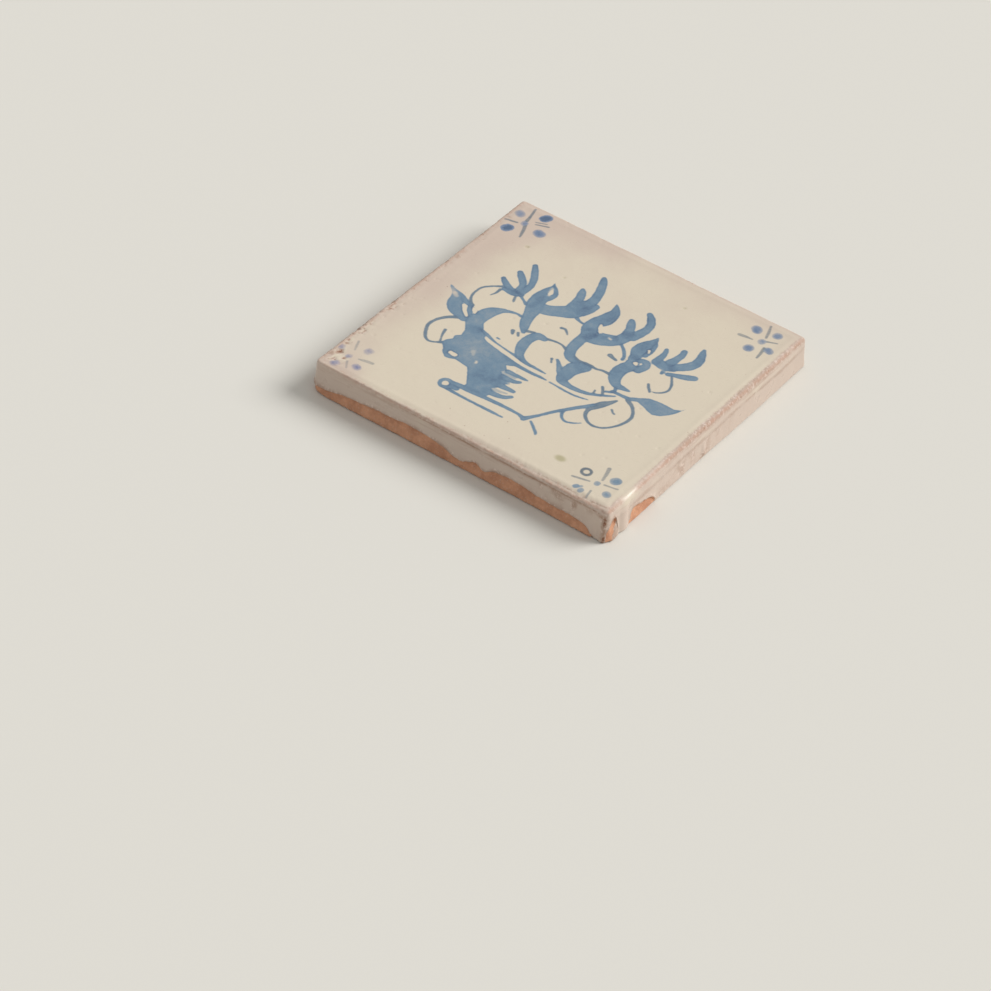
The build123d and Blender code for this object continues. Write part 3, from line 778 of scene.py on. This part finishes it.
def border(count):
    # The edge points of a square grid, as rows and columns, round it from the left front corner.
    step = np.arange(count)
    none, full = np.zeros(count, int), np.full(count, count)
    return np.concatenate([step, full, count - step, none]), np.concatenate([none, step, full, count - step])


def quadsOf(index):
    # The four corners of each cell of a grid of point numbers.
    return np.stack([index[:-1, :-1], index[1:, :-1], index[1:, 1:], index[:-1, 1:]], -1).reshape(-1, 4)


def joinPoints(sideValues, faceValues, underValues=0):
    # Puts one value per point in the order of the mesh: sides, inside of the face, underside.
    # A single number stands for all the points of that part.
    ofSides = np.broadcast_to(sideValues, x.shape).ravel()
    ofFace = np.broadcast_to(faceValues, faceX.shape)[1:-1, 1:-1].ravel()
    return np.concatenate([ofSides, ofFace, np.broadcast_to(underValues, underX.shape).ravel()])


# One closed mesh: sides, face and underside share their edge points.
sideIndex = np.arange(rows * columns).reshape(rows, columns)
innerCount = (cells - 1) ** 2
faceIndex = np.zeros((cells + 1, cells + 1), int)
faceIndex[border(cells)] = sideIndex[-1]
faceIndex[1:-1, 1:-1] = rows * columns + np.arange(innerCount).reshape(cells - 1, cells - 1)
underIndex = rows * columns + innerCount + np.arange((footCells + 1) ** 2).reshape(footCells + 1, -1)
parts = [(x, faceX, underX), (y, faceY, underY), (z, faceZ, underZ)]
points = np.column_stack([joinPoints(*part) for part in parts])
outwards = [0, 3, 2, 1]
sideFaces = quadsOf(np.column_stack([sideIndex, sideIndex[:, 0]]))[:, outwards]
topFaces = quadsOf(faceIndex)
underFaces = quadsOf(underIndex)[:, outwards]
quads = np.vstack([sideFaces, topFaces, underFaces])
# Fans of five triangles join four cells of the foot's edge to one of the underside's.
footEdge = underIndex[border(footCells)]
group = columns // len(footEdge)
outer = [np.roll(sideIndex[0], -n)[::group] for n in range(group + 1)]
fanPoints = np.stack([*outer, footEdge, np.roll(footEdge, -1)], -1)
fanOrder = [[0, 5, 1], [1, 5, 2], [2, 5, 6], [2, 6, 3], [3, 6, 4]]
fanFaces = np.vstack([fanPoints[:, order] for order in fanOrder])

mesh = bpy.data.meshes.new("tile")
mesh.vertices.add(len(points))
mesh.vertices.foreach_set("co", (points * mm).ravel())
corners = np.concatenate([quads.ravel(), fanFaces.ravel()]).astype(np.int32)
mesh.loops.add(len(corners))
mesh.loops.foreach_set("vertex_index", corners)
fanStarts = 4 * len(quads) + 3 * np.arange(len(fanFaces))
faceStarts = np.concatenate([4 * np.arange(len(quads)), fanStarts]).astype(np.int32)
mesh.polygons.add(len(faceStarts))
mesh.polygons.foreach_set("loop_start", faceStarts)
mesh.polygons.foreach_set("use_smooth", np.ones(len(faceStarts), bool))

# The bake map: the face large in one corner, two sides beside it, two above, the underside in
# the corner that is left. Shares of the map's width.
bakeMap = {"face": 0.72, "strip": 0.105, "gap": 0.012, "edge": 0.006, "faceSpan": 132, "underSpan": 134}
faceShare, strip, gap, edge = (bakeMap[name] for name in ("face", "strip", "gap", "edge"))
cornerUv = np.zeros((len(corners), 2))
sideColumn = np.tile(np.arange(columns), rows - 1)
sideRow = np.repeat(np.arange(rows - 1), columns)
side = sideColumn // cells
upright = side < 2
firstStrip, secondStrip = faceShare + gap, faceShare + gap + strip + gap
stripStart = np.array([[firstStrip, 0], [secondStrip, 0], [0, firstStrip], [0, secondStrip]])
for number, (moveColumn, moveRow) in enumerate([(0, 0), (1, 0), (1, 1), (0, 1)]):
    run = (sideColumn % cells + moveColumn) / cells * (faceShare - gap) + edge
    rise = (sideRow + moveRow) / (rows - 1) * (strip - edge) + edge / 2
    cornerUv[number : 4 * len(sideFaces) : 4, 0] = stripStart[side, 0] + np.where(upright, rise, run)
    cornerUv[number : 4 * len(sideFaces) : 4, 1] = stripStart[side, 1] + np.where(upright, run, rise)
flatStart = 4 * len(sideFaces)
flatEnd = flatStart + 4 * len(topFaces)
flat = points[corners][:, :2]
cornerUv[flatStart:flatEnd] = edge + (flat[flatStart:flatEnd] / bakeMap["faceSpan"] + 0.5) * faceShare
underShare = 1 - faceShare - 3 * gap
underPlace = 0.5 + flat[flatEnd:] * [-1, 1] / bakeMap["underSpan"]
cornerUv[flatEnd:] = faceShare + 2 * gap + underPlace * underShare
mesh.uv_layers.new(name="OFBake").data.foreach_set("uv", cornerUv.ravel())
mesh.update(calc_edges=True)
mesh.validate()

pointValues = {
    "paint": joinPoints(notPainted, paint, notPainted),
    "tone": joinPoints(0, tone),
    "violet": joinPoints(0, violet),
    "stain": joinPoints(0, stain),
    "bare": joinPoints(bare, -allBare, allBare),
    "wear": joinPoints(wear, faceWear),
    "blush": joinPoints(sideBlush, faceBlush),
    "seam": joinPoints(height - seamAt, farFromSeam, farFromSeam),
    "rimLine": joinPoints(rimLine, faceRimLine, -farOff),
    "rimStain": joinPoints(rimStain, edgeValue(rimStain)),
    "seamStainAndShade": joinPoints(seamStainAndShade, 0),
}
for name, values in pointValues.items():
    mesh.attributes.new(name, "FLOAT", "POINT").data.foreach_set("value", values.astype(np.float32))
piece = bpy.data.objects.new("tileSurface", mesh)
bpy.context.collection.objects.link(piece)
print("mesh:", len(points), "points,", 2 * len(quads) + len(fanFaces), "triangles")

# Colours are what the finish looks like in plain daylight.
finish = {
    "cream": (0.680, 0.597, 0.470),
    "fleck": (0.730, 0.600, 0.520),
    "pinkGlaze": (0.590, 0.475, 0.395),
    "clay": (0.692, 0.362, 0.216),
    "darkClay": (0.480, 0.226, 0.131),
    "worn": (0.425, 0.288, 0.215),
    "rimBrown": (0.500, 0.305, 0.225),
    "rust": (0.250, 0.115, 0.065),
    "blue": (0.150, 0.240, 0.330),
    "violetBlue": (0.185, 0.200, 0.340),
    "deepBlue": (0.060, 0.110, 0.200),
    "inkBlue": (0.120, 0.150, 0.180),  # of thin strokes
    "olive": (0.330, 0.300, 0.130),
    "glazeRoughness": 0.30,
    "clayRoughness": 0.88,
    "bumpStrength": 0.6,
    "bumpDistance": 0.00025,
}

material = bpy.data.materials.new("glazed earthenware")
material.use_nodes = True
tree = material.node_tree
tree.nodes.clear()


def plug(socket, value):
    # A number or colour is typed into the socket, anything else is wired to it.
    if isinstance(value, (int, float)):
        socket.default_value = value
    elif isinstance(value, tuple):
        socket.default_value = (*value, 1)
    else:
        tree.links.new(value, socket)


def addNode(kind, inputs={}, **settings):
    # A new node in the tree, with its settings and with what goes into its inputs.
    node = tree.nodes.new("ShaderNode" + kind)
    for name, setting in settings.items():
        setattr(node, name, setting)
    for name, value in inputs.items():
        plug(node.inputs[name], value)
    return node


def stored(name):
    # A value that the mesh keeps at each point, evened out between the points.
    return addNode("Attribute", attribute_name=name).outputs["Fac"]


def combine(a, b, kind):
    # One number from two, by the sum that kind names.
    return addNode("Math", {0: a, 1: b}, operation=kind).outputs[0]


def plus(a, b):
    # a + b.
    return combine(a, b, "ADD")


def times(a, b):
    # a times b.
    return combine(a, b, "MULTIPLY")


def larger(a, b):
    # The larger of a and b.
    return combine(a, b, "MAXIMUM")


def gapFrom(a):
    # How far a is from 0, with no sign.
    return combine(a, 0, "ABSOLUTE")


def grain(scale, detail=2, rough=0.5, stretch=None):
    # Noise minus a half, so that it swings about 0. A stretch makes it finer along an axis.
    spot = where
    if stretch:
        mapping = addNode("Mapping", {"Vector": where})
        mapping.inputs["Scale"].default_value = stretch
        spot = mapping.outputs["Vector"]
    noise = addNode("TexNoise", {"Vector": spot, "Scale": scale, "Detail": detail, "Roughness": rough})
    return combine(noise.outputs["Fac"], 0.5, "SUBTRACT")


def softStep(source, low, high, top=1):
    # An S-shaped step from 0 at low to top at high: 3t^2 - 2t^3, times top.
    ends = {"Value": source, "From Min": low, "From Max": high, "To Max": top}
    return addNode("MapRange", ends, interpolation_type="SMOOTHSTEP").outputs["Result"]


def blend(amount, first, second):
    # The first colour at amount 0, the second at 1, and a straight mix of them between.
    return addNode("Mix", {0: amount, 6: first, 7: second}, data_type="RGBA").outputs[2]


def pores(scale, size):
    # Small round spots, one at most in each cell: 1 in the middle, 0 from size outwards.
    cellNode = addNode("TexVoronoi", {"Vector": where, "Scale": scale})
    return softStep(cellNode.outputs["Distance"], size, size * 0.4)


where = addNode("TexCoord").outputs["Object"]

# Glaze: cream, pinker where it is thin, with a faint mottle and pin holes.
thin = plus(stored("blush"), times(grain(45, 4, 0.6), 0.9))
glaze = blend(softStep(thin, 0.05, 1.15), finish["cream"], finish["pinkGlaze"])
glaze = blend(softStep(grain(700, 3, 0.6), 0.02, 0.30, 0.16), glaze, finish["pinkGlaze"])
pinHoles = times(pores(300, 0.10), softStep(grain(160), 0.02, 0.16))
glaze = blend(times(pinHoles, 0.55), glaze, finish["worn"])
glaze = blend(times(stored("stain"), 0.62), glaze, finish["olive"])

# Painting: the edge wavers a little, and the wash is uneven inside it, both more in violet dots.
violetPart = larger(stored("violet"), 0)
looseHand = plus(times(violetPart, 2), 1)
edgeWaver = plus(times(grain(520, 3), 0.75), times(grain(2600), 0.22))
painted = softStep(plus(stored("paint"), times(edgeWaver, looseHand)), -0.24, 0.28)
washNoise = plus(times(grain(150, 5, 0.65), 0.62), times(grain(1500), 0.20))
washNoise = times(plus(washNoise, times(grain(430, 3, 0.6), 0.34)), looseHand)
pooled = times(softStep(stored("paint"), 0.95, 0.35, 0.24), softStep(stored("violet"), 0.4, 0))
strength = times(stored("tone"), plus(plus(washNoise, pooled), 0.97))
blue = blend(violetPart, finish["blue"], finish["violetBlue"])
blue = blend(softStep(stored("violet"), 0, -1), blue, finish["inkBlue"])
blue = blend(softStep(strength, 0.88, 1.42, 0.85), blue, finish["deepBlue"])
glaze = blend(times(painted, softStep(strength, 0, 1)), glaze, blue)

# Worn glaze over the arris, rust-brown where it has gone, and pale flecks in it.
wornMask = softStep(plus(stored("wear"), times(grain(420, 4, 0.7), 1.1)), 0.20, 0.90)
glaze = blend(times(wornMask, 0.8), glaze, finish["worn"])
rustMask = softStep(plus(stored("wear"), times(grain(900, 3, 0.7), 1.6)), 0.95, 1.25)
glaze = blend(rustMask, glaze, finish["rust"])
flecks = times(softStep(grain(850, 3), 0.04, 0.16), softStep(stored("wear"), 0.15, 0.50))
glaze = blend(times(flecks, 0.70), glaze, finish["fleck"])

# The seam on the sides: a thin broken line of worn glaze and painted shade, reddish brown where deepest.
seamWaver = plus(stored("seam"), times(grain(300, 4, 0.6), 1.5))
seamStainAndShadeMask = times(softStep(gapFrom(seamWaver), 1.35, 0.15), stored("seamStainAndShade"))
seamStainAndShadeMask = times(seamStainAndShadeMask, softStep(grain(210, 3), -0.26, 0.06))
glaze = blend(seamStainAndShadeMask, glaze, finish["worn"])
glaze = blend(softStep(seamStainAndShadeMask, 0.60, 1, 0.6), glaze, finish["rust"])

# The line along the rim, in the same way.
rimWaver = plus(stored("rimLine"), times(grain(420, 4, 0.6), 1.3))
rimMask = times(softStep(gapFrom(rimWaver), 1, 0.10), stored("rimStain"))
rimMask = times(rimMask, softStep(grain(230, 3), -0.24, 0.04))
glaze = blend(rimMask, glaze, finish["rimBrown"])
glaze = blend(softStep(rimMask, 0.60, 1, 0.5), glaze, finish["rust"])

# Crumbs of brown and of pale glaze along the rim, and faint streaks down from it.
crumbBand = times(softStep(gapFrom(plus(rimWaver, -0.2)), 2.3, 0.7), stored("rimStain"))
brownCrumbs = softStep(grain(520, 4, 0.65), 0, 0.14, 0.9)
glaze = blend(times(brownCrumbs, crumbBand), glaze, finish["rimBrown"])
paleCrumbs = times(softStep(grain(1150), 0.05, 0.15), softStep(grain(250), -0.06, 0.10))
glaze = blend(times(paleCrumbs, crumbBand), glaze, finish["fleck"])
streakBand = times(softStep(stored("rimLine"), -6.5, -3), softStep(stored("rimLine"), 0.4, -0.6))
streaks = softStep(grain(60, 4, 0.6, (1, 1, 11)), 0, 0.16, 0.38)
glaze = blend(times(streakBand, streaks), glaze, finish["worn"])

# Bare clay: sandy, with darker and paler grit.
clayColour = blend(softStep(grain(240, 5, 0.65), -0.22, 0.24), finish["darkClay"], finish["clay"])
clayColour = blend(times(pores(900, 0.28), 0.35), clayColour, finish["pinkGlaze"])
bareMask = softStep(plus(stored("bare"), times(grain(1300, 3), 0.35)), -0.06, 0.12)

# Roughness and fine relief.
dull = larger(bareMask, larger(rustMask, softStep(stored("wear"), 0.05, 0.65)))
glossNoise = plus(finish["glazeRoughness"], times(grain(260, 3), 0.22))
roughness = addNode("Mix", {0: dull, 2: glossNoise, 3: finish["clayRoughness"]}).outputs[0]
ripple = plus(times(grain(330, 3), 0.30), times(pinHoles, -0.5))
grit = times(times(grain(1400, 4, 0.7), 1.6), dull)
bump = addNode(
    "Bump",
    {"Strength": finish["bumpStrength"], "Distance": finish["bumpDistance"], "Height": plus(ripple, grit)},
)
shader = addNode("BsdfPrincipled", {"Base Color": blend(bareMask, glaze, clayColour), "Roughness": roughness})
plug(shader.inputs["Normal"], bump.outputs["Normal"])
addNode("OutputMaterial", {"Surface": shader.outputs["BSDF"]})
mesh.materials.append(material)

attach(piece, "root")
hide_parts("tile")
print("finish made")

# Floor, light and camera.
studio = {
    "floor": (0.730, 0.708, 0.651),
    "floorReach": 6,  # metres from the middle
    "floorDrop": 0.0002,
    "floorRoughness": 0.9,
    "floorGloss": 0.1,
    "sky": (0.480, 0.478, 0.472),
    "sunTowards": (0.55, 0.57, 0.61),
    "sunStrength": 2.7,
    "sunAngle": 0.6,  # radians: a large soft source
    "azimuth": 32.59,  # degrees, of the camera round the tile
    "elevation": 40.89,
    "roll": 5.22,
    "distance": 1333.7,
    "tileRight": 24.30,  # how far the tile's middle lies from the picture's, at the tile
    "tileUp": 44.01,
    "lens": 130.8,
    "film": 36,
}
floorMesh = bpy.data.meshes.new("floor")
reach, floorZ = studio["floorReach"], -studio["floorDrop"]
floorPoints = [(side * reach, end * reach, floorZ) for side, end in [(-1, -1), (1, -1), (1, 1), (-1, 1)]]
floorMesh.from_pydata(floorPoints, [], [(0, 1, 2, 3)])
floorMaterial = bpy.data.materials.new("pale floor")
floorMaterial.use_nodes = True
floorShader = floorMaterial.node_tree.nodes["Principled BSDF"]
floorShader.inputs["Base Color"].default_value = (*studio["floor"], 1)
floorShader.inputs["Roughness"].default_value = studio["floorRoughness"]
floorShader.inputs["Specular IOR Level"].default_value = studio["floorGloss"]
floorMesh.materials.append(floorMaterial)
floor = bpy.data.objects.new("floor", floorMesh)
bpy.context.collection.objects.link(floor)

sun = bpy.data.lights.new("window light", "SUN")
sun.energy = studio["sunStrength"]
sun.angle = studio["sunAngle"]
sunObject = bpy.data.objects.new("window light", sun)
sunObject.rotation_euler = Vector(studio["sunTowards"]).to_track_quat("Z", "Y").to_euler()
bpy.context.collection.objects.link(sunObject)

# The world lights the tile evenly, and shows as the floor's own pale colour.
world = bpy.data.worlds.new("studio")
bpy.context.scene.world = world
world.use_nodes = True
tree = world.node_tree
tree.nodes.clear()
path = addNode("LightPath").outputs
seen = larger(larger(path["Is Camera Ray"], path["Is Glossy Ray"]), path["Is Transmission Ray"])
lightSky = addNode("Background", {"Color": studio["sky"]}).outputs[0]
seenSky = addNode("Background", {"Color": studio["floor"]}).outputs[0]
sky = addNode("MixShader", {0: seen, 1: lightSky, 2: seenSky}).outputs[0]
addNode("OutputWorld", {"Surface": sky})

azimuth, elevation, roll = (math.radians(studio[name]) for name in ("azimuth", "elevation", "roll"))
level = math.cos(elevation)
back = Vector((math.sin(azimuth) * level, -math.cos(azimuth) * level, math.sin(elevation)))
right = Vector((math.cos(azimuth), math.sin(azimuth), 0))
up = back.cross(right)
tiltedRight = math.cos(roll) * right + math.sin(roll) * up
tiltedUp = math.cos(roll) * up - math.sin(roll) * right
cameraData = bpy.data.cameras.new("camera")
cameraData.lens = studio["lens"]
cameraData.sensor_width = studio["film"]
camera = bpy.data.objects.new("camera", cameraData)
turned = Matrix([tiltedRight, tiltedUp, back]).transposed().to_4x4()
at = (studio["distance"] * back - studio["tileRight"] * tiltedRight - studio["tileUp"] * tiltedUp) * mm
camera.matrix_world = Matrix.Translation(at) @ turned
bpy.context.collection.objects.link(camera)
bpy.context.scene.camera = camera
bpy.context.scene.view_settings.view_transform = "Standard"
print("studio set")
